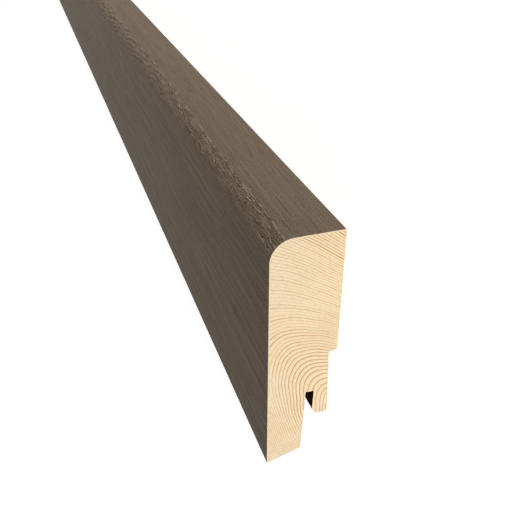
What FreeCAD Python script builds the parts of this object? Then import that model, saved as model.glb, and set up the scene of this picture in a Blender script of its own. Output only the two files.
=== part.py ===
"""A stock length of veneered skirting board, made to be pushed down over hidden wall clips.

A softwood moulding is milled on four sides, and a thin wood veneer is wrapped over its face, its rounded face
edge and its top. The back is milled for the clips: a shoulder with a shallow leaning relief below it, and a clip
seat that leaves a thin front leg and a short wedge-shaped tongue with a groove between them. The foot is
bevelled, so that only the toe of the face touches the floor covering.

The board lies on its back with the veneered face up. X runs along its length, Y from the toe up to the top edge
and Z from the wall plane out to the face. The origin is on the wall plane, at mid length and mid height.
The sections are drawn from an origin of their own, on the wall plane at the toe's height, with the height as
their first axis and the thickness as their second.
"""
import FreeCAD, Part
import math
import os

import Sketcher

# The driving dimensions, in millimetres and degrees. Heights are measured up from the toe of the face.
DIMENSIONS = {
    "board_length": 2400,
    "board_height": 60,
    "board_thickness": 16,
    "veneer_thickness": 0.3,
    "face_edge_radius": 5,
    "shoulder_height": 30,
    "shoulder_radius": 1,
    "relief_depth": 2,
    "relief_lean": 2,
    "tongue_tip_height": 12.3,
    "tongue_front_radius": 2,
    "tongue_back_radius": 0.8,
    "groove_end_height": 19.5,
    "groove_width": 2,
    "leg_root_thickness": 9,
    "leg_lean": 2.2,
    "foot_bevel": 15,
    "heel_radius": 0.8,
    "cutter_overrun": 5,
}

# The sketch's own origin, and the numbers by which the points of a line or an arc are called.
ORIGIN = -1
START, END, CENTRE = 1, 2, 3

# A cut that takes less than this, in cubic millimetres, has missed the wood.
LEAST_CUT = 1.0
# An edge is taken for the one at a corner when it lies within this distance of it.
EDGE_REACH = 0.1


def make_sheet(doc):
    """A spreadsheet with one named cell for each driving dimension."""
    sheet = doc.addObject("Spreadsheet::Sheet", "size")
    for row, (name, value) in enumerate(DIMENSIONS.items(), start=1):
        sheet.set(f"A{row}", name)
        sheet.set(f"B{row}", str(value))
        sheet.setAlias(f"B{row}", name)
    doc.recompute()
    return sheet


def make_body(doc, label):
    """A body whose sections' origin is moved down from the board's mid height to the toe."""
    body = doc.addObject("PartDesign::Body", label)
    body.Label = label
    body.setExpression("Placement.Base.y", "-size.board_height / 2")
    return body


def make_sketch(body, name):
    """An empty sketch across the board, with Y as its first axis and Z as its second."""
    sketch = body.newObject("Sketcher::SketchObject", name)
    across = next(feature for feature in body.Origin.OriginFeatures if feature.Role == "YZ_Plane")
    sketch.AttachmentSupport = (across, "")
    sketch.MapMode = "FlatFace"
    return sketch


def draw_lines(sketch, points, closed=True):
    """Draws a line from each point to the next, joined end to start. Returns the lines' numbers."""
    corners = [FreeCAD.Vector(*point, 0) for point in points]
    ends = corners[1:] + corners[:1] if closed else corners[1:]
    lines = [sketch.addGeometry(Part.LineSegment(*pair), False) for pair in zip(corners, ends)]
    followers = lines[1:] + lines[:1] if closed else lines[1:]
    for line, follower in zip(lines, followers):
        tie(sketch, "Coincident", line, END, follower, START)
    return lines


def draw_quarter(sketch, centre, radius):
    """Draws a quarter circle from the centre's top side round to its face side."""
    circle = Part.Circle(FreeCAD.Vector(*centre, 0), FreeCAD.Vector(0, 0, 1), radius)
    return sketch.addGeometry(Part.ArcOfCircle(circle, 0, math.pi / 2), False)


def tie(sketch, kind, *geometry):
    """Adds a constraint that has no size of its own."""
    return sketch.addConstraint(Sketcher.Constraint(kind, *geometry))


def align(sketch, kind, *lines):
    """Holds each of the lines horizontal or vertical."""
    for line in lines:
        tie(sketch, kind, line)


def drawn_value(sketch, kind, geometry):
    """The present value of a dimension in the sketch as drawn."""
    if kind == "Radius":
        return sketch.Geometry[geometry[0]].Radius
    if kind in ("Angle", "Distance"):
        line = sketch.Geometry[geometry[0]]
        run = line.EndPoint - line.StartPoint
        return math.atan2(run.y, run.x) if kind == "Angle" else run.Length
    run = sketch.getPoint(*geometry[2:]) - sketch.getPoint(*geometry[:2])
    return run.x if kind == "DistanceX" else run.y


def dimension(sketch, kind, formula, *geometry):
    """Adds a dimension with its drawn value, then binds it to the spreadsheet."""
    value = drawn_value(sketch, kind, geometry)
    number = sketch.addConstraint(Sketcher.Constraint(kind, *geometry, value))
    sketch.setExpression(f"Constraints[{number}]", formula)


def place(sketch, line, point, height=None, depth=None):
    """Holds a point of a line at a height above the toe and at a depth in front of the wall plane."""
    if height:
        dimension(sketch, "DistanceX", height, ORIGIN, START, line, point)
    if depth:
        dimension(sketch, "DistanceY", depth, ORIGIN, START, line, point)


def place_outside(sketch, line):
    """Holds the start of a cut's outline one overrun below the toe and one behind the wall plane."""
    dimension(sketch, "DistanceX", "size.cutter_overrun", line, START, ORIGIN, START)
    dimension(sketch, "DistanceY", "size.cutter_overrun", line, START, ORIGIN, START)


def finish_section(sketch):
    """Applies the bound sizes, and refuses a section that they don't hold in full."""
    sketch.Document.recompute()
    if not sketch.FullyConstrained:
        raise RuntimeError(f"{sketch.Label} is not fully constrained")
    return sketch


def corner_at(sketch, line):
    """The place of a line's start, as height and depth."""
    point = sketch.getPoint(line, START)
    return point.x, point.y


def run_along(body, sketch, name):
    """Runs a section along the whole length, equally to both sides of the origin."""
    pad = body.newObject("PartDesign::Pad", name)
    pad.Profile = sketch
    pad.SideType = "Symmetric"
    pad.setExpression("Length", "size.board_length")
    body.Document.recompute()


def mill_along(body, sketch, name):
    """Takes a section away along the whole length."""
    before = body.Shape.Volume
    pocket = body.newObject("PartDesign::Pocket", name)
    pocket.Profile = sketch
    pocket.SideType = "Symmetric"
    pocket.Type = "ThroughAll"
    body.Document.recompute()
    if before - body.Shape.Volume < LEAST_CUT:
        raise RuntimeError(f"{name} takes no wood away")


def round_edge(body, name, corner, radius):
    """Rounds the lengthwise edge that passes through a corner of the section."""
    base = body.Tip
    for number, edge in enumerate(base.Shape.Edges, start=1):
        box = edge.BoundBox
        off_corner = math.hypot(box.Center.y - corner[0], box.Center.z - corner[1])
        if off_corner < EDGE_REACH and box.XLength > EDGE_REACH:
            break
    else:
        raise RuntimeError(f"no edge for {name}")
    fillet = body.newObject("PartDesign::Fillet", name)
    fillet.Base = (base, [f"Edge{number}"])
    fillet.setExpression("Radius", radius)
    body.Document.recompute()


def draw_blank(body, size):
    """The planed blank, which is less than the board by the veneer on its face and on its top."""
    sketch = make_sketch(body, "blank_section")
    height = size.board_height - size.veneer_thickness
    depth = size.board_thickness - size.veneer_thickness
    wall_plane, top, face, foot = draw_lines(sketch, [(0, 0), (height, 0), (height, depth), (0, depth)])
    align(sketch, "Horizontal", wall_plane, face)
    align(sketch, "Vertical", top, foot)
    tie(sketch, "Coincident", wall_plane, START, ORIGIN, START)
    place(sketch, face, START, "size.board_height - size.veneer_thickness",
          "size.board_thickness - size.veneer_thickness")
    return finish_section(sketch), corner_at(sketch, face)


def draw_relief(body, size):
    """The shallow cut below the shoulder. Its floor leans back to the wall plane towards the foot."""
    sketch = make_sketch(body, "relief_section")
    outside = -size.cutter_overrun
    below_foot, floor, shoulder, behind_wall = draw_lines(sketch, [
        (outside, outside),
        (outside, 0),
        (size.shoulder_height, size.relief_depth),
        (size.shoulder_height, outside),
    ])
    place_outside(sketch, below_foot)
    align(sketch, "Vertical", below_foot, shoulder)
    align(sketch, "Horizontal", behind_wall)
    dimension(sketch, "Angle", "size.relief_lean * 1 deg", floor)
    place(sketch, shoulder, START, "size.shoulder_height", "size.relief_depth")
    return finish_section(sketch), (size.shoulder_height, 0)


def draw_clip_seat(body, size):
    """The room for the clip behind the leg, and the groove that runs on up between the leg and the tongue.

    One straight leaning wall is the back of the leg and the front of the groove, so that a clip's lip that
    slides up it draws the board to the wall. The groove's end is square to it.
    """
    sketch = make_sketch(body, "clip_seat_section")
    outside = -size.cutter_overrun
    root = size.board_thickness - size.leg_root_thickness
    below_foot, leg_back, groove_end, tongue_front, tongue_tip, behind_wall = draw_lines(sketch, [
        (outside, outside),
        (outside, root),
        (size.groove_end_height, root),
        (size.groove_end_height, root - size.groove_width),
        (size.tongue_tip_height, root - size.groove_width),
        (size.tongue_tip_height, outside),
    ])
    place_outside(sketch, below_foot)
    align(sketch, "Vertical", below_foot, tongue_tip)
    align(sketch, "Horizontal", behind_wall)
    dimension(sketch, "Angle", "-size.leg_lean * 1 deg", leg_back)
    tie(sketch, "Perpendicular", leg_back, groove_end)
    tie(sketch, "Parallel", leg_back, tongue_front)
    place(sketch, groove_end, START, "size.groove_end_height", "size.board_thickness - size.leg_root_thickness")
    dimension(sketch, "Distance", "size.groove_width", groove_end)
    place(sketch, tongue_tip, START, "size.tongue_tip_height")
    return finish_section(sketch), corner_at(sketch, tongue_tip)


def draw_foot(body, size):
    """The wood below the bevelled foot. The bevel rises from the toe of the face towards the wall."""
    sketch = make_sketch(body, "foot_section")
    outside = -size.cutter_overrun
    bevel_end = (size.board_thickness - outside) * math.tan(math.radians(size.foot_bevel))
    below_foot, in_front, bevel, behind_wall = draw_lines(sketch, [
        (outside, outside),
        (outside, size.board_thickness),
        (0, size.board_thickness),
        (bevel_end, outside),
    ])
    place_outside(sketch, below_foot)
    align(sketch, "Vertical", below_foot)
    align(sketch, "Horizontal", in_front, behind_wall)
    tie(sketch, "Vertical", bevel, START, ORIGIN, START)
    place(sketch, bevel, START, depth="size.board_thickness")
    dimension(sketch, "Angle", "(size.foot_bevel - 90) * 1 deg", bevel)
    return finish_section(sketch)


def draw_veneer(body, size):
    """The veneer from the toe up the face, round the face edge and down the top to the wall plane."""
    sketch = make_sketch(body, "veneer_section")
    height, depth, veneer = size.board_height, size.board_thickness, size.veneer_thickness
    round_height = height - size.face_edge_radius
    round_depth = depth - size.face_edge_radius
    glued_face, toe_end, face = draw_lines(sketch, [
        (round_height, depth - veneer),
        (0, depth - veneer),
        (0, depth),
        (round_height, depth),
    ], closed=False)
    top, back_end, glued_top = draw_lines(sketch, [
        (height, round_depth),
        (height, 0),
        (height - veneer, 0),
        (height - veneer, round_depth),
    ], closed=False)
    outer_round = draw_quarter(sketch, (round_height, round_depth), size.face_edge_radius)
    glued_round = draw_quarter(sketch, (round_height, round_depth), size.face_edge_radius - veneer)
    tie(sketch, "Tangent", face, END, outer_round, END)
    tie(sketch, "Tangent", top, START, outer_round, START)
    tie(sketch, "Tangent", glued_face, START, glued_round, END)
    tie(sketch, "Tangent", glued_top, END, glued_round, START)
    tie(sketch, "Coincident", outer_round, CENTRE, glued_round, CENTRE)
    align(sketch, "Horizontal", face, glued_face, back_end)
    align(sketch, "Vertical", top, glued_top)
    tie(sketch, "Horizontal", back_end, START, ORIGIN, START)
    tie(sketch, "Vertical", face, START, ORIGIN, START)
    place(sketch, back_end, START, height="size.board_height")
    place(sketch, face, START, depth="size.board_thickness")
    dimension(sketch, "DistanceX", "size.veneer_thickness", back_end, END, back_end, START)
    dimension(sketch, "Radius", "size.face_edge_radius", outer_round)
    dimension(sketch, "Angle", "(size.foot_bevel + 90) * 1 deg", toe_end)
    return finish_section(sketch)


def make_core(doc, size):
    """The softwood moulding: a planed blank, then its cuts and its rounded edges."""
    core = make_body(doc, "softwood_core")
    blank, face_edge = draw_blank(core, size)
    run_along(core, blank, "blank")
    relief, shoulder_edge = draw_relief(core, size)
    mill_along(core, relief, "relief")
    clip_seat, tongue_front_edge = draw_clip_seat(core, size)
    mill_along(core, clip_seat, "clip_seat")
    mill_along(core, draw_foot(core, size), "foot")

    # The corners that two cuts make between them are worked out from the slopes of both.
    tongue_drop = (size.shoulder_height - size.tongue_tip_height) * math.tan(math.radians(size.relief_lean))
    tongue_back_edge = (size.tongue_tip_height, size.relief_depth - tongue_drop)
    bevel_slope = math.tan(math.radians(size.foot_bevel))
    leg_slope = math.tan(math.radians(size.leg_lean))
    leg_foot_thickness = size.leg_root_thickness - size.groove_end_height * leg_slope
    heel_height = leg_foot_thickness * bevel_slope / (1 - leg_slope * bevel_slope)
    heel_edge = (heel_height, size.board_thickness - heel_height / bevel_slope)

    round_edge(core, "face_edge", face_edge, "size.face_edge_radius - size.veneer_thickness")
    round_edge(core, "shoulder_edge", shoulder_edge, "size.shoulder_radius")
    round_edge(core, "tongue_front_edge", tongue_front_edge, "size.tongue_front_radius")
    round_edge(core, "tongue_back_edge", tongue_back_edge, "size.tongue_back_radius")
    round_edge(core, "heel_edge", heel_edge, "size.heel_radius")
    return core


def make_veneer(doc, size):
    """The veneer, folded round the moulding in one piece."""
    veneer = make_body(doc, "veneer_wrap")
    run_along(veneer, draw_veneer(veneer, size), "wrap")
    return veneer


def check(doc, bodies):
    """Stops the run if any object failed or any body isn't one sound solid."""
    for item in doc.Objects:
        if "Invalid" in item.State or "Error" in item.State:
            raise RuntimeError(f"{item.Label} is in state {item.State}")
    for body in bodies:
        if body.Shape.isNull() or not body.Shape.isValid() or len(body.Shape.Solids) != 1:
            raise RuntimeError(f"{body.Label} is not one valid solid")


def main():
    doc = FreeCAD.newDocument("skirting_board")
    size = make_sheet(doc)
    bodies = [make_core(doc, size), make_veneer(doc, size)]
    doc.recompute()
    check(doc, bodies)
    os.makedirs("parts", exist_ok=True)
    for body in bodies:
        body.Shape.exportStep(f"parts/{body.Label}.step")
        box = body.Shape.BoundBox
        print(f"{body.Label}: {box.XLength:.1f} x {box.YLength:.2f} x {box.ZLength:.2f} mm, "
              f"{body.Shape.Volume / 1000:.1f} cm3")


main()
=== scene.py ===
"""The looks of a length of veneered skirting board, which lies on its back with the veneered face up.

The softwood moulding shows its growth rings on the sawn ends and along every milled face. The dark veneer is
one sheet, folded round the face, the rounded face edge and the top, with a flame figure where it is folded.
Everything is in metres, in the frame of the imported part.
"""

import math

import bpy
from mathutils import Matrix, Vector


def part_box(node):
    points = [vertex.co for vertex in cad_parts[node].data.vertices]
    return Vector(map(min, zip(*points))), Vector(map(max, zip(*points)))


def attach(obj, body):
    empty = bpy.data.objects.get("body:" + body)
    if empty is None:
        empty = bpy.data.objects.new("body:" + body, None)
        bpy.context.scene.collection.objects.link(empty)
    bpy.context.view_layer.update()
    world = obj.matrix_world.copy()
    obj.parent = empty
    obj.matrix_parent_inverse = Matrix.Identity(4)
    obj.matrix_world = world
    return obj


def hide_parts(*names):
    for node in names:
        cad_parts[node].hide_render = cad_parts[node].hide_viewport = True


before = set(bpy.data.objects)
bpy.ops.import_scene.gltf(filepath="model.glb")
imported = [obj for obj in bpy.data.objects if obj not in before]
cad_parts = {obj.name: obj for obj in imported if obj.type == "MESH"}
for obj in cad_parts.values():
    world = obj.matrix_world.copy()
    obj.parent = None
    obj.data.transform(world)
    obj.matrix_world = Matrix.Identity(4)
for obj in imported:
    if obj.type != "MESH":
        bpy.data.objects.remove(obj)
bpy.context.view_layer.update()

MM = 0.001

# The board's own sizes. The overall ones come from the frame, and heights are measured up from the toe.
core_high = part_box("softwood_core")[1]
wrap_low, wrap_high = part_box("veneer_wrap")
LENGTH = wrap_high.x - wrap_low.x
HEIGHT = wrap_high.y - wrap_low.y
THICKNESS = wrap_high.z - wrap_low.z
VENEER = wrap_high.z - core_high.z
TOE = wrap_low.y
NEAR_END = wrap_high.x

FACE_EDGE_RADIUS = 5 * MM
SHOULDER_HEIGHT = 30 * MM
SHOULDER_RADIUS = 1 * MM
RELIEF_DEPTH = 2 * MM
RELIEF_LEAN = math.radians(2)
TONGUE_TIP_HEIGHT = 12.3 * MM
TONGUE_FRONT_RADIUS = 2 * MM
TONGUE_BACK_RADIUS = 0.8 * MM
GROOVE_END_HEIGHT = 19.5 * MM
GROOVE_WIDTH = 2 * MM
LEG_ROOT_THICKNESS = 9 * MM
LEG_LEAN = math.radians(2.2)
FOOT_BEVEL = math.radians(15)
HEEL_RADIUS = 0.8 * MM
BACK_ARRIS_RADIUS = 0.25 * MM

FACE_EDGE_SEGMENTS = 20
SMALL_EDGE_SEGMENTS = 6
SAW_OVERRUN = 4 * MM
MERGE_DISTANCE = 0.001 * MM
FLAT_ANGLE = math.radians(0.5)
SMOOTH_ANGLE = math.radians(25)
# A vertex counts as a corner, and a face as lying on a wall's line, within so much of it.
CORNER_REACH = 0.05 * MM
WALL_REACH = 0.01 * MM


def place(height, depth, x=0):
    """A point of the section, given by its height above the toe and its depth in front of the wall plane."""
    return Vector((x, TOE + height, depth))


def leg_back_depth(height):
    """The depth of the leg's back, and of the groove's front wall, which is in line with it."""
    return THICKNESS - LEG_ROOT_THICKNESS + (GROOVE_END_HEIGHT - height) * math.tan(LEG_LEAN)


def tongue_front_depth(height):
    """The depth of the tongue's front, which is the groove's back wall."""
    return leg_back_depth(height) - GROOVE_WIDTH / math.cos(LEG_LEAN)


def relief_depth(height):
    """The depth of the relief's floor, which is also the back of the tongue."""
    return RELIEF_DEPTH - (SHOULDER_HEIGHT - height) * math.tan(RELIEF_LEAN)


def groove_end_height(depth):
    """The height of the groove's end, which is square to its walls."""
    return GROOVE_END_HEIGHT - (THICKNESS - LEG_ROOT_THICKNESS - depth) * math.tan(LEG_LEAN)


def heel_height():
    """The height at which the leg's back meets the bevelled foot."""
    bevel_slope = math.tan(FOOT_BEVEL)
    return (THICKNESS - leg_back_depth(0)) * bevel_slope / (1 - math.tan(LEG_LEAN) * bevel_slope)


# The tools of the workshop: a face is drawn at the near end, sawn and rounded, and then run along the board.


def draw_end_face(name, low, high):
    """Adds a flat face across the board at its near end, between two corners, and opens it for editing."""
    bpy.ops.object.select_all(action="DESELECT")
    middle = (low + high) / 2
    upright = (math.pi / 2, 0, math.pi / 2)
    bpy.ops.mesh.primitive_plane_add(size=1, location=middle, rotation=upright, calc_uvs=False)
    piece = bpy.context.active_object
    piece.name = piece.data.name = name
    piece.scale = (high.y - low.y, high.z - low.z, 1)
    bpy.ops.object.transform_apply(location=True, rotation=True, scale=True)
    bpy.ops.object.mode_set(mode="EDIT")
    return piece


def choose(piece, kind, wanted):
    """Selects just those vertices or polygons that are wanted."""
    bpy.ops.mesh.select_mode(type={"vertices": "VERT", "polygons": "FACE"}[kind])
    bpy.ops.mesh.select_all(action="DESELECT")
    bpy.ops.object.mode_set(mode="OBJECT")
    for part in getattr(piece.data, kind):
        part.select = wanted(part)
    bpy.ops.object.mode_set(mode="EDIT")


def saw(start, end, clear=False):
    """Cuts along the straight line between two points of the section, and may clear what is on its right."""
    bpy.ops.mesh.select_all(action="SELECT")
    across = (end - start).cross(Vector((1, 0, 0)))
    bpy.ops.mesh.bisect(plane_co=start, plane_no=across, clear_outer=clear, threshold=MERGE_DISTANCE)


def round_corner(piece, corner, radius, segments):
    """Rounds a corner of the section, tangent to both of its sides."""
    def is_corner(vertex):
        return (vertex.co.yz - corner.yz).length < CORNER_REACH

    choose(piece, "vertices", is_corner)
    bpy.ops.object.mode_set(mode="OBJECT")
    vertices = piece.data.vertices
    tip = next(vertex for vertex in vertices if is_corner(vertex))
    sides = [vertices[sum(edge.vertices) - tip.index].co - tip.co
             for edge in piece.data.edges if tip.index in edge.vertices]
    bpy.ops.object.mode_set(mode="EDIT")
    from_tip = radius / math.tan(sides[0].angle(sides[1]) / 2)
    bpy.ops.mesh.bevel(offset=from_tip, segments=segments, profile=0.5, affect="VERTICES")


def run_along():
    """Extrudes the finished end face to the far end of the board."""
    bpy.ops.mesh.select_all(action="SELECT")
    bpy.ops.mesh.extrude_region_move(TRANSFORM_OT_translate={"value": (-LENGTH, 0, 0)})


def close_piece(piece):
    """Merges what meets, turns every face outwards and shades the round stretches smooth."""
    bpy.ops.mesh.select_all(action="SELECT")
    bpy.ops.mesh.remove_doubles(threshold=MERGE_DISTANCE)
    bpy.ops.mesh.normals_make_consistent(inside=False)
    bpy.ops.object.mode_set(mode="OBJECT")
    bpy.ops.object.shade_smooth_by_angle(angle=SMOOTH_ANGLE)


def fit_piece(piece, node):
    """Puts a finished piece in the place of its node."""
    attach(piece, "root")
    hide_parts(node)


# The two pieces.


def is_milled_away(face):
    """Whether a face of the sawn section lies in the relief, in the groove or in the room for the clip."""
    height, depth = face.center.y - TOE, face.center.z
    in_relief = height < SHOULDER_HEIGHT and depth < relief_depth(height)
    behind_leg = depth < leg_back_depth(height)
    in_clip_room = height < TONGUE_TIP_HEIGHT and behind_leg
    in_groove = behind_leg and depth > tongue_front_depth(height) and height < groove_end_height(depth)
    return in_relief or in_clip_room or in_groove


def make_moulding():
    """The softwood moulding, with the shoulder, the relief, the leg, the tongue and the bevelled foot."""
    top = HEIGHT - VENEER
    front = THICKNESS - VENEER
    moulding = draw_end_face("softwood_moulding", place(0, 0, NEAR_END), place(top, front, NEAR_END))

    saw(place(0, THICKNESS), place(THICKNESS * math.tan(FOOT_BEVEL), 0), clear=True)
    saw(place(SHOULDER_HEIGHT, 0), place(SHOULDER_HEIGHT, front))
    saw(place(TONGUE_TIP_HEIGHT, 0), place(TONGUE_TIP_HEIGHT, front))
    saw(place(groove_end_height(0), 0), place(groove_end_height(front), front))
    for depth_at in (relief_depth, tongue_front_depth, leg_back_depth):
        saw(place(0, depth_at(0)), place(top, depth_at(top)))
    choose(moulding, "polygons", is_milled_away)
    bpy.ops.mesh.delete(type="FACE")
    bpy.ops.mesh.select_all(action="SELECT")
    bpy.ops.mesh.dissolve_limited(angle_limit=FLAT_ANGLE)

    tongue_front = place(TONGUE_TIP_HEIGHT, tongue_front_depth(TONGUE_TIP_HEIGHT))
    tongue_back = place(TONGUE_TIP_HEIGHT, relief_depth(TONGUE_TIP_HEIGHT))
    heel = place(heel_height(), leg_back_depth(heel_height()))
    round_corner(moulding, place(top, front), FACE_EDGE_RADIUS - VENEER, FACE_EDGE_SEGMENTS)
    round_corner(moulding, place(SHOULDER_HEIGHT, 0), SHOULDER_RADIUS, SMALL_EDGE_SEGMENTS)
    round_corner(moulding, tongue_front, TONGUE_FRONT_RADIUS, SMALL_EDGE_SEGMENTS)
    round_corner(moulding, tongue_back, TONGUE_BACK_RADIUS, SMALL_EDGE_SEGMENTS)
    round_corner(moulding, heel, HEEL_RADIUS, SMALL_EDGE_SEGMENTS)
    run_along()
    close_piece(moulding)
    fit_piece(moulding, "softwood_core")
    return moulding


def make_veneer():
    """The veneer: a rounded outline, inset by its thickness, with the foot and the wall side sawn off."""
    low = place(-SAW_OVERRUN, -SAW_OVERRUN, NEAR_END)
    veneer = draw_end_face("veneer_sheet", low, place(HEIGHT, THICKNESS, NEAR_END))
    round_corner(veneer, place(HEIGHT, THICKNESS), FACE_EDGE_RADIUS, FACE_EDGE_SEGMENTS)
    bpy.ops.mesh.select_mode(type="FACE")
    bpy.ops.mesh.select_all(action="SELECT")
    bpy.ops.mesh.inset(thickness=VENEER, use_even_offset=True)
    bpy.ops.mesh.delete(type="FACE")
    saw(place(0, THICKNESS), place(THICKNESS * math.tan(FOOT_BEVEL), 0), clear=True)
    saw(place(0, 0), place(HEIGHT, 0), clear=True)
    round_corner(veneer, place(HEIGHT, 0), BACK_ARRIS_RADIUS, SMALL_EDGE_SEGMENTS)
    run_along()
    close_piece(veneer)
    unroll(veneer)
    fit_piece(veneer, "veneer_wrap")
    return veneer


def girth(point):
    """How far from the toe a point of the veneer is, up the face, round the edge and down the top."""
    centre = place(HEIGHT - FACE_EDGE_RADIUS, THICKNESS - FACE_EDGE_RADIUS)
    beyond, out = point.y - centre.y, point.z - centre.z
    if beyond <= 0:
        return point.y - TOE
    turned = math.pi / 2 if out <= 0 else math.atan2(beyond, out)
    return HEIGHT - FACE_EDGE_RADIUS + FACE_EDGE_RADIUS * turned + max(0, -out)


def unroll(veneer):
    """Lays the veneer flat in a map of its own, in metres: its length across, and its girth up."""
    layer = veneer.data.uv_layers.new(name="laid_flat")
    for loop in veneer.data.loops:
        point = veneer.data.vertices[loop.vertex_index].co
        layer.uv[loop.index].vector = (point.x, girth(point))


# The finishes.


def srgb(red, green, blue):
    """A colour as seen on screen, from 0 to 255, as the linear values that a shader takes."""
    def linear(value):
        value /= 255
        return value / 12.92 if value <= 0.04045 else ((value + 0.055) / 1.055) ** 2.4
    return linear(red), linear(green), linear(blue), 1.0


class Finish:
    """A material in the making, with one short call for each kind of node that it uses."""

    # The places of the Mix node's sockets for colours, which share their names with its other sockets.
    FIRST_COLOUR, SECOND_COLOUR, MIXED_COLOUR = 6, 7, 2

    def __init__(self, name):
        self.material = bpy.data.materials.new(name)
        self.material.use_nodes = True
        self.tree = self.material.node_tree
        self.surface = self.tree.nodes["Principled BSDF"]

    def feed(self, socket, value):
        """Gives a socket a value, which is either plain or another node's result."""
        if isinstance(value, bpy.types.NodeSocket):
            self.tree.links.new(value, socket)
        else:
            socket.default_value = value

    def node(self, kind, inputs=None, **settings):
        """Adds a node with its settings, and feeds its inputs."""
        node = self.tree.nodes.new(f"ShaderNode{kind}")
        for name, value in settings.items():
            setattr(node, name, value)
        for name, value in (inputs or {}).items():
            self.feed(node.inputs[name], value)
        return node

    def where(self, output="Object"):
        """The place in the board's frame, or with UV in the map of its surface."""
        return self.node("TexCoord").outputs[output]

    def part(self, vector, axis):
        """One of the coordinates of a place."""
        return self.node("SeparateXYZ", {0: vector}).outputs[axis]

    def height(self, where):
        """The height of a place above the toe."""
        return self.math("SUBTRACT", self.part(where, "Y"), TOE)

    def noise(self, vector, per_metre, detail=2.0, roughness=0.5):
        """Even noise about one half. Along each axis a metre holds about so many of its features."""
        scaled = self.node("Mapping", {"Vector": vector, "Scale": per_metre}).outputs["Vector"]
        inputs = {"Vector": scaled, "Scale": 1.0, "Detail": detail, "Roughness": roughness}
        return self.node("TexNoise", inputs).outputs["Fac"]

    def waver(self, vector, per_metre, detail=2.0, roughness=0.5):
        """The same noise, but about zero."""
        return self.math("SUBTRACT", self.noise(vector, per_metre, detail, roughness), 0.5)

    def chance(self, number):
        """A value from 0 to 1 that is picked anew for each number."""
        return self.node("TexWhiteNoise", {"W": number}, noise_dimensions="1D").outputs["Value"]

    def math(self, operation, *values):
        """The result of a sum, a product or the like."""
        node = self.node("Math", operation=operation)
        for socket, value in zip(node.inputs, values):
            self.feed(socket, value)
        return node.outputs[0]

    def times(self, first, *others):
        """The product of two or more values."""
        for other in others:
            first = self.math("MULTIPLY", first, other)
        return first

    def larger(self, first, second):
        """The larger one of two values."""
        return self.math("MAXIMUM", first, second)

    def is_number(self, value, number):
        """1 where a whole value is that number, and 0 elsewhere."""
        return self.math("COMPARE", value, number, 0.5)

    def slope(self, value, start, end, low=0.0, high=1.0, how="LINEAR"):
        """Turns one stretch of a value into another, and stays level outside of it."""
        inputs = {"Value": value, "From Min": start, "From Max": end, "To Min": low, "To Max": high}
        return self.node("MapRange", inputs, interpolation_type=how).outputs["Result"]

    def ramp(self, value, start, end, low=0.0, high=1.0):
        """A slope that starts and ends smoothly."""
        return self.slope(value, start, end, low, high, how="SMOOTHSTEP")

    def between(self, share, low, high):
        """The low value where a share is 0, the high one where it is 1, and in between a mean of both."""
        return self.slope(share, 0.0, 1.0, low, high)

    def near(self, value, middle, width):
        """1 where a value is at the middle, falling smoothly to 0 at a width from it."""
        return self.ramp(self.math("ABSOLUTE", self.math("SUBTRACT", value, middle)), 0.0, width, 1.0, 0.0)

    def blend(self, share, first, second):
        """The first colour where a share is 0, and the second one where it is 1."""
        node = self.node("Mix", data_type="RGBA")
        self.feed(node.inputs["Factor"], share)
        self.feed(node.inputs[self.FIRST_COLOUR], first)
        self.feed(node.inputs[self.SECOND_COLOUR], second)
        return node.outputs[self.MIXED_COLOUR]

    def coat(self, colour, roughness, gloss):
        """Gives the surface its colour, its roughness and its gloss."""
        self.feed(self.surface.inputs["Base Color"], colour)
        self.feed(self.surface.inputs["Roughness"], roughness)
        self.surface.inputs["Specular IOR Level"].default_value = gloss

    def bump(self, height, strength, distance):
        """Lets light fall as if the surface rose by up to a distance."""
        inputs = {"Height": height, "Strength": strength, "Distance": distance}
        self.feed(self.surface.inputs["Normal"], self.node("Bump", inputs).outputs["Normal"])


# The growth rings are flattened ovals about a pith that lay behind the wall plane and below the toe. Their
# radius is counted in units that are a millimetre long straight up the board from the pith.
PITH_HEIGHT = -16.9 * MM
PITH_DEPTH = -24.3 * MM
RING_TILT = math.radians(36.4)
RING_LONG_SCALE = 2.22 * MM
RING_SHORT_SCALE = 0.637 * MM

# Near the pith the ovals are slimmer, more so on the side of the leg than on that of the tongue: each side
# gets more radius over a stretch beside the ovals' long axis. At the toe the radius falls back by a lag, and
# everywhere it wanders a little.
SLIM_RADIUS = 24.0
SLIM_FADE = 5.5
BESIDE_BY_LEG = (-1.6, 11.0)
BESIDE_BY_TONGUE = (-2.4, -8.0)
TOE_RING_LAG = 2.4
RING_WANDER = 0.9

# Rings are wide near the pith, and from the sparse radius on they are slightly wider again. In between, each
# of two close stretches has one ring more.
RINGS_PER_UNIT = 1.79
INNER_RADIUS = 20.3
WIDE_RING_RADIUS = 26.0
WIDE_RING_GAIN = 1.92
CLOSE_RING_RADII = (26.1, 29.0, 34.5)
SPARSE_RADIUS = 46.9
SPARSE_RING_LOSS = 0.203

# Of each ring, the shares over which its line sets in and over which it ends.
LINE_SETS_IN = (0.56, 0.88)
LINE_ENDS = (0.9, 1.0)

# Some rings stand out, and are known by their number from the pith: the marked ones all along, the middle one
# halfway between the wall and the face, and the bold ones in a darker colour. In the leg, lines are even.
MARKED_RINGS = (53, 54, 58, 61, 66, 69, 72, 76, 79, 82)
MARKED_STRENGTH = 0.75
MIDDLE_RING = 52
MIDDLE_STRENGTH = 0.95
MIDDLE_DEPTH = 7 * MM
MIDDLE_REACH = 12 * MM
BOLD_RINGS = (85, 93)
EVEN_STRENGTH = 0.6

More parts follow.
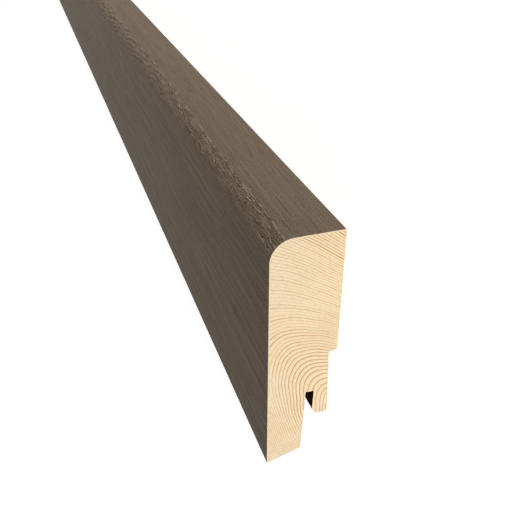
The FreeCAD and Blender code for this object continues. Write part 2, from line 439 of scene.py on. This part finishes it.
# Stretches of ring radius, over which the wood goes from one look to the next.
FAST_GROWN_STARTS = (WIDE_RING_RADIUS + 4, WIDE_RING_RADIUS)
PATCHES_START = (28.0, 35.0)
CLEAR_SIDES_SWAP = (30.0, 36.0)
TAN_STARTS = (29.0, 34.0)
TAN_ENDS = (46.5, 43.0)
OUTSIDE_STARTS = (43.0, 48.0)
WARMTH_STARTS = (41.0, 48.0)

# Stretches of height above the toe, and of depth in front of the wall plane.
ABOVE_LEG = (GROOVE_END_HEIGHT - 6 * MM, GROOVE_END_HEIGHT + 4 * MM)
ABOVE_TONGUE = (TONGUE_TIP_HEIGHT, GROOVE_END_HEIGHT + 5 * MM)
# The painted groove shade sets in over this stretch of height, above the tongue's tip.
GROOVE_SHADE_SETS_IN = (TONGUE_TIP_HEIGHT, TONGUE_TIP_HEIGHT + 1.2 * MM)
DOWN_TO_TOE = (14 * MM, 0.0)
FROM_WALL = (2 * MM, 9 * MM)
NEAR_WALL = (10 * MM, 1 * MM)
NEAR_FACE = (5 * MM, 16 * MM)

# The wood is a little duller about a height above the shoulder.
DULL_HEIGHT = SHOULDER_HEIGHT + 6 * MM
DULL_REACH = 12 * MM

# How many features each kind of noise has to a metre: along the board, up its height and through its depth.
RING_WAVES = (5, 110, 110)
CLEAR_PATCHES = (3, 90, 90)
WARM_PATCHES = (2, 60, 60)
WOOD_FIBRES = (14, 1400, 1400)

EARLYWOOD = srgb(248, 229, 195)
WARM_SAPWOOD = srgb(240, 207, 163)
DULL_SAPWOOD = srgb(222, 198, 164)
LATEWOOD = srgb(184, 140, 22)
ORANGE_LATEWOOD = srgb(200, 134, 40)
BOLD_LATEWOOD = srgb(184, 112, 18)
# GROOVE_SHADE is painted shade: a dark colour put on the groove's walls where deep shadow falls.
GROOVE_SHADE = srgb(58, 46, 34)


def ring_radius(finish, where):
    """The ring radius at a place: its distance from the pith, with all that makes the ovals uneven."""
    inputs = {
        "Vector": where,
        "Location": (0, TOE + PITH_HEIGHT, PITH_DEPTH),
        "Rotation": (RING_TILT, 0, 0),
        "Scale": (1, RING_LONG_SCALE, RING_SHORT_SCALE),
    }
    oval = finish.node("Mapping", inputs, vector_type="TEXTURE").outputs["Vector"]
    across = finish.node("VectorMath", {0: oval, 1: (0, 1, 1)}, operation="MULTIPLY").outputs["Vector"]
    radius = finish.node("VectorMath", {0: across}, operation="LENGTH").outputs["Value"]
    beside = finish.part(oval, "Z")
    by_leg = finish.ramp(beside, *BESIDE_BY_LEG, high=0.7)
    by_tongue = finish.ramp(beside, *BESIDE_BY_TONGUE, high=0.35)
    slimmer = finish.math("ADD", by_leg, by_tongue)
    near_pith = finish.ramp(radius, SLIM_RADIUS + SLIM_FADE, SLIM_RADIUS)
    radius = finish.math("MULTIPLY_ADD", slimmer, near_pith, radius)
    low_down = finish.ramp(finish.height(where), *DOWN_TO_TOE)
    near_face = finish.ramp(finish.part(where, "Z"), *NEAR_FACE)
    radius = finish.math("MULTIPLY_ADD", finish.times(low_down, near_face), -TOE_RING_LAG, radius)
    wander = finish.waver(where, RING_WAVES, detail=3)
    return finish.math("MULTIPLY_ADD", wander, RING_WANDER, radius)


def ring_count(finish, radius):
    """How many rings lie within a radius: the whole part is the ring's number, and the rest is its share."""
    inner = finish.slope(radius, WIDE_RING_RADIUS, INNER_RADIUS)
    count = finish.math("MULTIPLY_ADD", radius, RINGS_PER_UNIT, finish.times(inner, inner, WIDE_RING_GAIN))
    for start, end in zip(CLOSE_RING_RADII, CLOSE_RING_RADII[1:]):
        count = finish.math("ADD", count, finish.slope(radius, start, end))
    sparse = finish.larger(finish.math("SUBTRACT", radius, SPARSE_RADIUS), 0.0)
    return finish.math("MULTIPLY_ADD", sparse, -SPARSE_RING_LOSS, count)


def own_strength(finish, number, fast_grown, above_leg):
    """How strong a ring's own line is: by chance, but even in the leg, and strong in a marked ring."""
    weakest = finish.between(fast_grown, 0.25, 0.7)
    strongest = finish.between(fast_grown, 0.6, 0.95)
    own = finish.between(finish.chance(number), weakest, strongest)
    for marked in MARKED_RINGS:
        own = finish.larger(own, finish.times(finish.is_number(number, marked), MARKED_STRENGTH))
    in_leg = finish.times(finish.ramp(above_leg, 1.0, 0.0), finish.ramp(fast_grown, 1.0, 0.0))
    return finish.between(in_leg, own, EVEN_STRENGTH)


def clearness(finish, where, radius, fast_grown, above_leg):
    """How clear the lines are at a place, whichever ring they close."""
    by_wall = finish.ramp(radius, *CLEAR_SIDES_SWAP, low=0.75, high=1.1)
    by_face = finish.ramp(radius, *CLEAR_SIDES_SWAP, low=1.1, high=0.75)
    on_side = finish.ramp(finish.part(where, "Z"), *FROM_WALL, low=by_wall, high=by_face)
    patchy = finish.ramp(finish.noise(where, CLEAR_PATCHES), 0.3, 0.6, low=0.5, high=0.98)
    clear = finish.times(patchy, on_side, finish.between(above_leg, 1.2, 1.0))
    clear = finish.larger(clear, finish.ramp(radius, *OUTSIDE_STARTS, high=1.6))
    paler_in_tongue = finish.ramp(finish.height(where), *ABOVE_TONGUE, low=0.65, high=1.05)
    return finish.larger(clear, finish.times(fast_grown, paler_in_tongue))


def latewood_lines(finish, where, radius):
    """How much of the latewood line of its ring a place has, and how much of a bold one."""
    count = ring_count(finish, radius)
    share = finish.math("FRACT", count)
    line = finish.times(finish.ramp(share, *LINE_SETS_IN), finish.ramp(share, *LINE_ENDS, low=1.0, high=0.0))
    number = finish.math("FLOOR", count)
    depth = finish.part(where, "Z")
    fast_grown = finish.ramp(radius, *FAST_GROWN_STARTS)
    above_leg = finish.ramp(finish.height(where), *ABOVE_LEG)

    own = own_strength(finish, number, fast_grown, above_leg)
    strength = finish.times(own, clearness(finish, where, radius, fast_grown, above_leg))
    in_middle = finish.times(finish.near(depth, MIDDLE_DEPTH, MIDDLE_REACH), above_leg)
    middle_ring = finish.times(finish.is_number(number, MIDDLE_RING), in_middle, MIDDLE_STRENGTH)
    strength = finish.larger(strength, middle_ring)
    bold = finish.math("ADD", *(finish.is_number(number, ring) for ring in BOLD_RINGS))
    bold = finish.times(bold, finish.ramp(depth, *FROM_WALL, low=1.0, high=0.6))
    return finish.times(line, strength), finish.times(line, bold)


def make_softwood(name, in_groove=False):
    """Planed bare softwood: pale earlywood, and a fine orange-brown latewood line that closes each ring."""
    finish = Finish(name)
    where = finish.where()
    height = finish.height(where)
    radius = ring_radius(finish, where)
    latewood, bold_latewood = latewood_lines(finish, where, radius)
    fibres = finish.noise(where, WOOD_FIBRES, detail=3, roughness=0.6)

    patches = finish.ramp(finish.noise(where, WARM_PATCHES, detail=3), 0.3, 0.7, high=0.3)
    patches = finish.times(patches, finish.ramp(radius, *PATCHES_START, low=0.3))
    warmth = finish.larger(patches, finish.ramp(radius, *WARMTH_STARTS, high=0.2))
    colour = finish.blend(warmth, EARLYWOOD, WARM_SAPWOOD)
    near_wall = finish.ramp(finish.part(where, "Z"), *NEAR_WALL, high=0.38)
    dull = finish.times(finish.near(height, DULL_HEIGHT, DULL_REACH), near_wall)
    colour = finish.blend(dull, colour, DULL_SAPWOOD)
    tan = finish.times(finish.ramp(radius, *TAN_STARTS), finish.ramp(radius, *TAN_ENDS))
    colour = finish.blend(latewood, colour, finish.blend(tan, ORANGE_LATEWOOD, LATEWOOD))
    colour = finish.blend(bold_latewood, colour, BOLD_LATEWOOD)
    colour = finish.blend(finish.ramp(fibres, 0.35, 0.75, high=0.16), colour, LATEWOOD)
    # In the groove the walls get painted shade, from the tongue's tip upwards, and no gloss.
    if in_groove:
        colour = finish.blend(finish.ramp(height, *GROOVE_SHADE_SETS_IN), colour, GROOVE_SHADE)
    roughness = finish.ramp(latewood, 0.0, 1.0, low=0.72, high=0.6)
    finish.coat(colour, roughness, gloss=0.0 if in_groove else 0.25)
    finish.bump(finish.math("ADD", latewood, fibres), strength=0.25, distance=0.05 * MM)
    return finish.material


# The veneer's own pattern is laid out flat, in metres: X is along the board and Y is the girth.
FOLD_START = HEIGHT - FACE_EDGE_RADIUS
FOLD_END = FOLD_START + FACE_EDGE_RADIUS * math.pi / 2
CREST_GIRTH = FOLD_END - 1.5 * MM
# A painted highlight runs along the crest of the fold, this wide.
CREST_HIGHLIGHT_WIDTH = 0.2 * MM
FACE_ENDS = (FOLD_START - 4 * MM, FOLD_START)
FLAME_STARTS = (FOLD_START - 0.6 * MM, FOLD_START + 2.8 * MM)
FLAME_ENDS = (CREST_GIRTH, CREST_GIRTH + 0.5 * MM)
FLAME_BRIGHTENS = (CREST_GIRTH - 3.6 * MM, CREST_GIRTH - 0.8 * MM)

# The flame has fine lines near the end and broader strokes farther along, which lean the other way. The
# spacing is from one to the next across the girth, and the slant is how far along the board it takes to drift
# by one. Crinkle and bends are counted in lines, and the flame's sway and the crinkle of its edge in metres.
LINE_SPACING = 0.5 * MM
LINE_SLANT = 45 * MM
LINE_BENDS = 7.0
LINE_CRINKLE = 1.9
EDGE_CRINKLE = 0.6 * MM
FLAME_SWAY = 3.0 * MM
STROKE_SPACING = 1.5 * MM
STROKE_SLANT = -14 * MM
STROKE_BENDS = 3.4
STROKES_START = (NEAR_END - 40 * MM, NEAR_END - 180 * MM)

# Across each line or stroke, where it is light or dark, and how far that reaches.
LINE_LIGHT = (0.5, 0.22)
LINE_DARK = (0.85, 0.3)
STROKE_LIGHT = (0.4, 0.3)
STROKE_DARK = (0.85, 0.3)

# The grain on the face is broader than round the fold and on the top, and has more contrast.
BROAD_GRAIN_GAIN = 1.35

# How many features each kind of noise has to a metre: along the board and across the girth. Last comes the
# third way of the flat map, which has no depth.
GRAIN_BANDS = (2.5, 75, 1)
FINE_GRAIN = (26, 2100, 1)
BROAD_GRAIN = (24, 1000, 1)
VENEER_FIBRES = (1500, 3600, 1)
VENEER_PORES = (110, 2600, 1)
FLAME_SWAYS = (16, 60, 1)
FLAME_BREAKS = (140, 900, 1)
FLAME_FLECKS = (1100, 2800, 1)
LINE_WAVES = (40, 260, 1)
LINE_CRINKLES = (500, 800, 1)
STROKE_WAVES = (70, 320, 1)

STAINED_VENEER = srgb(105, 91, 74)
DARK_GRAIN = srgb(80, 67, 52)
LIGHT_GRAIN = srgb(127, 112, 95)
FLAME_BROWN = srgb(101, 86, 68)
FLAME_DARK = srgb(66, 54, 41)
FLAME_LIGHT = srgb(170, 154, 133)
VENEER_EDGE = srgb(243, 222, 186)


def slanted_share(finish, flat, spacing, slant, bends):
    """How far across each one of a row of slanted lines a place is, from 0 to 1."""
    across = finish.math("DIVIDE", finish.part(flat, "Y"), spacing)
    drift = finish.math("DIVIDE", finish.part(flat, "X"), slant)
    return finish.math("FRACT", finish.math("ADD", finish.math("ADD", across, drift), bends))


def flame_lines(finish, flat, crinkle, broken):
    """The flame's fine crinkled lines and its flecks: how light a place is, and how dark."""
    bends = finish.math("MULTIPLY_ADD", finish.noise(flat, LINE_WAVES), LINE_BENDS, crinkle)
    share = slanted_share(finish, flat, LINE_SPACING, LINE_SLANT, bends)
    flecks = finish.noise(flat, FLAME_FLECKS)
    light = finish.times(finish.near(share, *LINE_LIGHT), broken)
    light = finish.math("ADD", light, finish.ramp(flecks, 0.54, 0.72, high=0.35))
    dark = finish.times(finish.near(share, *LINE_DARK), 0.95)
    dark = finish.larger(dark, finish.ramp(flecks, 0.5, 0.34, high=0.65))
    return light, dark


def flame_strokes(finish, flat, strokes):
    """The flame's broader strokes, where there are any: how light a place is, and how dark."""
    bends = finish.times(finish.noise(flat, STROKE_WAVES, detail=3, roughness=0.6), STROKE_BENDS)
    share = slanted_share(finish, flat, STROKE_SPACING, STROKE_SLANT, bends)
    light = finish.times(finish.near(share, *STROKE_LIGHT), finish.between(strokes, 0.0, 0.36))
    dark = finish.times(finish.near(share, *STROKE_DARK), finish.between(strokes, 0.0, 0.8))
    return light, dark


def flame_figure(finish, flat, colour):
    """Adds the figure of light and dark lines that follows the fold, and tells how light it is at a place."""
    sway = finish.waver(flat, FLAME_SWAYS, detail=3)
    swayed = finish.math("MULTIPLY_ADD", sway, FLAME_SWAY, finish.part(flat, "Y"))
    crinkle = finish.times(finish.waver(flat, LINE_CRINKLES, roughness=0.6), LINE_CRINKLE)
    edge = finish.math("MULTIPLY_ADD", crinkle, EDGE_CRINKLE, swayed)
    below_edge = finish.ramp(edge, *FLAME_ENDS, low=1.0, high=0.0)
    inside = finish.times(finish.ramp(swayed, *FLAME_STARTS), below_edge)
    broken = finish.ramp(finish.noise(flat, FLAME_BREAKS, detail=3, roughness=0.65), 0.42, 0.58)

    strokes = finish.ramp(finish.part(flat, "X"), *STROKES_START)
    fine_light, fine_dark = flame_lines(finish, flat, crinkle, broken)
    broad_light, broad_dark = flame_strokes(finish, flat, strokes)
    light = finish.larger(finish.times(fine_light, finish.between(strokes, 1.0, 0.55)), broad_light)
    light = finish.times(light, finish.ramp(swayed, *FLAME_BRIGHTENS, low=0.65, high=0.9), inside)
    # Along the crest of the fold a thin light line is a painted highlight, broken up like the figure.
    crest_highlight = finish.times(finish.near(edge, CREST_GIRTH, CREST_HIGHLIGHT_WIDTH), finish.ramp(broken, 0.0, 1.0, high=0.6))
    light = finish.larger(light, crest_highlight)

    figure = finish.blend(finish.larger(fine_dark, broad_dark), FLAME_BROWN, FLAME_DARK)
    return finish.blend(light, finish.blend(inside, colour, figure), FLAME_LIGHT), light


def make_stained_veneer():
    """Dark stained, satin veneer with fine lengthwise grain and pores, and a flame figure along the fold."""
    finish = Finish("stained_veneer")
    flat = finish.where("UV")
    on_face = finish.ramp(finish.part(flat, "Y"), *FACE_ENDS, low=1.0, high=0.0)
    bands = finish.noise(flat, GRAIN_BANDS, detail=3)
    fine = finish.noise(flat, FINE_GRAIN, detail=3, roughness=0.55)
    broad = finish.noise(flat, BROAD_GRAIN, detail=3, roughness=0.65)
    broad = finish.math("MULTIPLY_ADD", broad, BROAD_GRAIN_GAIN, (1 - BROAD_GRAIN_GAIN) / 2)
    grain = finish.between(on_face, fine, broad)
    fibres = finish.noise(flat, VENEER_FIBRES, roughness=0.6)
    pores = finish.ramp(finish.noise(flat, VENEER_PORES), 0.56, 0.68)
    colour = finish.blend(finish.ramp(bands, 0.34, 0.66, high=0.42), STAINED_VENEER, DARK_GRAIN)
    colour = finish.blend(finish.ramp(grain, 0.48, 0.72, high=0.65), colour, LIGHT_GRAIN)
    colour = finish.blend(finish.ramp(grain, 0.52, 0.28, high=0.65), colour, DARK_GRAIN)
    colour = finish.blend(finish.ramp(fibres, 0.44, 0.68, high=0.7), colour, LIGHT_GRAIN)
    colour = finish.blend(finish.ramp(fibres, 0.48, 0.32, high=0.35), colour, DARK_GRAIN)
    colour = finish.blend(finish.times(pores, 0.5), colour, DARK_GRAIN)
    # Round the fold and on the top the veneer is painted a little lighter: a painted sheen.
    colour = finish.blend(finish.between(on_face, 0.12, 0.0), colour, LIGHT_GRAIN)
    colour, raised = flame_figure(finish, flat, colour)
    finish.coat(colour, finish.ramp(pores, 0.0, 1.0, low=0.63, high=0.75), gloss=0.08)
    relief = finish.math("SUBTRACT", finish.math("ADD", grain, raised), pores)
    finish.bump(relief, strength=0.3, distance=0.04 * MM)
    return finish.material


def make_veneer_edge():
    """The bare veneer, which the stain doesn't reach."""
    finish = Finish("veneer_cut_edge")
    fibres = finish.noise(finish.where(), WOOD_FIBRES, detail=3)
    colour = finish.blend(finish.ramp(fibres, 0.3, 0.8, high=0.15), VENEER_EDGE, LATEWOOD)
    finish.coat(colour, roughness=0.7, gloss=0.5)
    return finish.material


# A face looks mostly, nearly or straight along an axis when more than so much of its normal does.
MOSTLY = 0.5
NEARLY = 0.9
STRAIGHT = 0.98


def is_sawn_end(face):
    """Whether a face looks along the board."""
    return abs(face.normal.x) > MOSTLY


# The faces that this test picks are given the painted groove shade.
def is_groove_wall(face):
    """Whether a face is in the groove, on the tongue's front round or on the leg's back above the heel."""
    height, depth = face.center.y - TOE, face.center.z
    round_starts = tongue_front_depth(height) - TONGUE_FRONT_RADIUS
    in_line = round_starts < depth < leg_back_depth(height) + WALL_REACH
    return in_line and height > heel_height() and not is_sawn_end(face)


def is_bare_veneer(face):
    """Whether a face of the veneer is at an end, on the bevelled foot or turned to the wall."""
    on_foot = -STRAIGHT < face.normal.y < -MOSTLY
    to_wall = face.normal.z < -NEARLY
    return is_sawn_end(face) or on_foot or to_wall


def paint(piece, main, other, is_other):
    """Gives a piece its main finish, and another one on the faces that the test picks."""
    piece.data.materials.append(main)
    piece.data.materials.append(other)
    for face in piece.data.polygons:
        face.material_index = int(is_other(face))


# The studio: a low lamp on the side of the top edge and the near end, a weaker one opposite, and even light.
LAMP_DIRECTION = Vector((0.71, 0.70, 0.02))
LAMP_STRENGTH = 6.4
FILL_DIRECTION = Vector((-0.70, -0.70, 0.05))
FILL_STRENGTH = 1.6
LAMP_ANGLE = math.radians(36)
AMBIENT = 0.11

# The floor lights the board as plain pale grey. The camera sees it glow, so that it is white outside shadows.
FLOOR_SIZE = 12.0
FLOOR_GAP = 0.05 * MM
FLOOR_COLOUR = (0.8, 0.8, 0.8, 1.0)
FLOOR_GLOW = 0.77
FLOOR_SHADED = (0.85, 0.85, 0.85, 1.0)

# The camera looks from just beyond the near end along the face and the top, and holds the height upright.
CAMERA_BEYOND_END = 99.4 * MM
CAMERA_Y = 91.9 * MM
CAMERA_Z = 52.6 * MM
AIM_BEFORE_END = 7.9 * MM
AIM_Y = 22.4 * MM
FOCAL_PIXELS = 655.4
IMAGE_PIXELS = 512
SENSOR_WIDTH = 36.0


def seen_directly(tree):
    """1 for a ray from the camera, from a gloss or through glass, and 0 for one that only lights."""
    rays = tree.nodes.new("ShaderNodeLightPath")
    most = rays.outputs["Is Camera Ray"]
    for name in ("Is Glossy Ray", "Is Transmission Ray"):
        larger = tree.nodes.new("ShaderNodeMath")
        larger.operation = "MAXIMUM"
        tree.links.new(most, larger.inputs[0])
        tree.links.new(rays.outputs[name], larger.inputs[1])
        most = larger.outputs[0]
    return most


def make_surroundings():
    """A white background that lights the board evenly from all sides."""
    world = bpy.data.worlds.new("studio")
    bpy.context.scene.world = world
    world.use_nodes = True
    tree = world.node_tree
    background = tree.nodes["Background"]
    background.inputs["Color"].default_value = (1, 1, 1, 1)
    strength = tree.nodes.new("ShaderNodeMapRange")
    strength.inputs["To Min"].default_value = AMBIENT
    strength.inputs["To Max"].default_value = 1.0
    tree.links.new(seen_directly(tree), strength.inputs["Value"])
    tree.links.new(strength.outputs["Result"], background.inputs["Strength"])


def make_floor():
    """A plain pale floor, white where nothing shades it."""
    bpy.ops.object.select_all(action="DESELECT")
    bpy.ops.mesh.primitive_plane_add(size=FLOOR_SIZE, location=(0, 0, -FLOOR_GAP))
    floor = bpy.context.active_object
    floor.name = "studio_floor"
    bpy.ops.object.transform_apply(location=True, rotation=True, scale=True)
    material = bpy.data.materials.new("pale_floor")
    material.use_nodes = True
    tree = material.node_tree
    tree.nodes.clear()
    plain = tree.nodes.new("ShaderNodeBsdfDiffuse")
    plain.inputs["Color"].default_value = FLOOR_COLOUR
    shaded = tree.nodes.new("ShaderNodeBsdfDiffuse")
    shaded.inputs["Color"].default_value = FLOOR_SHADED
    glow = tree.nodes.new("ShaderNodeEmission")
    glow.inputs["Strength"].default_value = FLOOR_GLOW
    both = tree.nodes.new("ShaderNodeAddShader")
    choice = tree.nodes.new("ShaderNodeMixShader")
    output = tree.nodes.new("ShaderNodeOutputMaterial")
    tree.links.new(shaded.outputs[0], both.inputs[0])
    tree.links.new(glow.outputs[0], both.inputs[1])
    tree.links.new(seen_directly(tree), choice.inputs[0])
    tree.links.new(plain.outputs[0], choice.inputs[1])
    tree.links.new(both.outputs[0], choice.inputs[2])
    tree.links.new(choice.outputs[0], output.inputs["Surface"])
    floor.data.materials.append(material)


def make_lamp(name, direction, strength, shines=True):
    """A soft lamp that lights the board from one side. One that doesn't shine leaves no gloss on it."""
    lamp = bpy.data.lights.new(name, "SUN")
    lamp.energy = strength
    lamp.angle = LAMP_ANGLE
    holder = bpy.data.objects.new(name, lamp)
    holder.visible_glossy = shines
    holder.rotation_euler = direction.to_track_quat("Z", "Y").to_euler()
    bpy.context.scene.collection.objects.link(holder)


def make_camera():
    """The camera, turned so that the board's height is upright in the picture."""
    lens = bpy.data.cameras.new("camera")
    lens.sensor_width = SENSOR_WIDTH
    lens.lens = FOCAL_PIXELS / IMAGE_PIXELS * SENSOR_WIDTH
    lens.clip_start = 1 * MM
    camera = bpy.data.objects.new("camera", lens)
    camera.location = (NEAR_END + CAMERA_BEYOND_END, CAMERA_Y, CAMERA_Z)
    aim = Vector((NEAR_END - AIM_BEFORE_END, AIM_Y, THICKNESS))
    back = (camera.location - aim).normalized()
    right = Vector((0, 1, 0)).cross(back).normalized()
    turn = Matrix((right, back.cross(right), back)).transposed()
    camera.rotation_euler = turn.to_euler()
    bpy.context.scene.collection.objects.link(camera)
    bpy.context.scene.camera = camera


moulding = make_moulding()
bare_wood = make_softwood("softwood")
# The second softwood finish carries the painted shade in the groove.
shaded_wood = make_softwood("softwood_painted_groove_shade", in_groove=True)
paint(moulding, bare_wood, shaded_wood, is_groove_wall)
veneer = make_veneer()
paint(veneer, make_stained_veneer(), make_veneer_edge(), is_bare_veneer)
make_surroundings()
make_floor()
make_lamp("main_lamp", LAMP_DIRECTION, LAMP_STRENGTH)
make_lamp("fill_lamp", FILL_DIRECTION, FILL_STRENGTH, shines=False)
make_camera()
bpy.context.scene.view_settings.view_transform = "Standard"
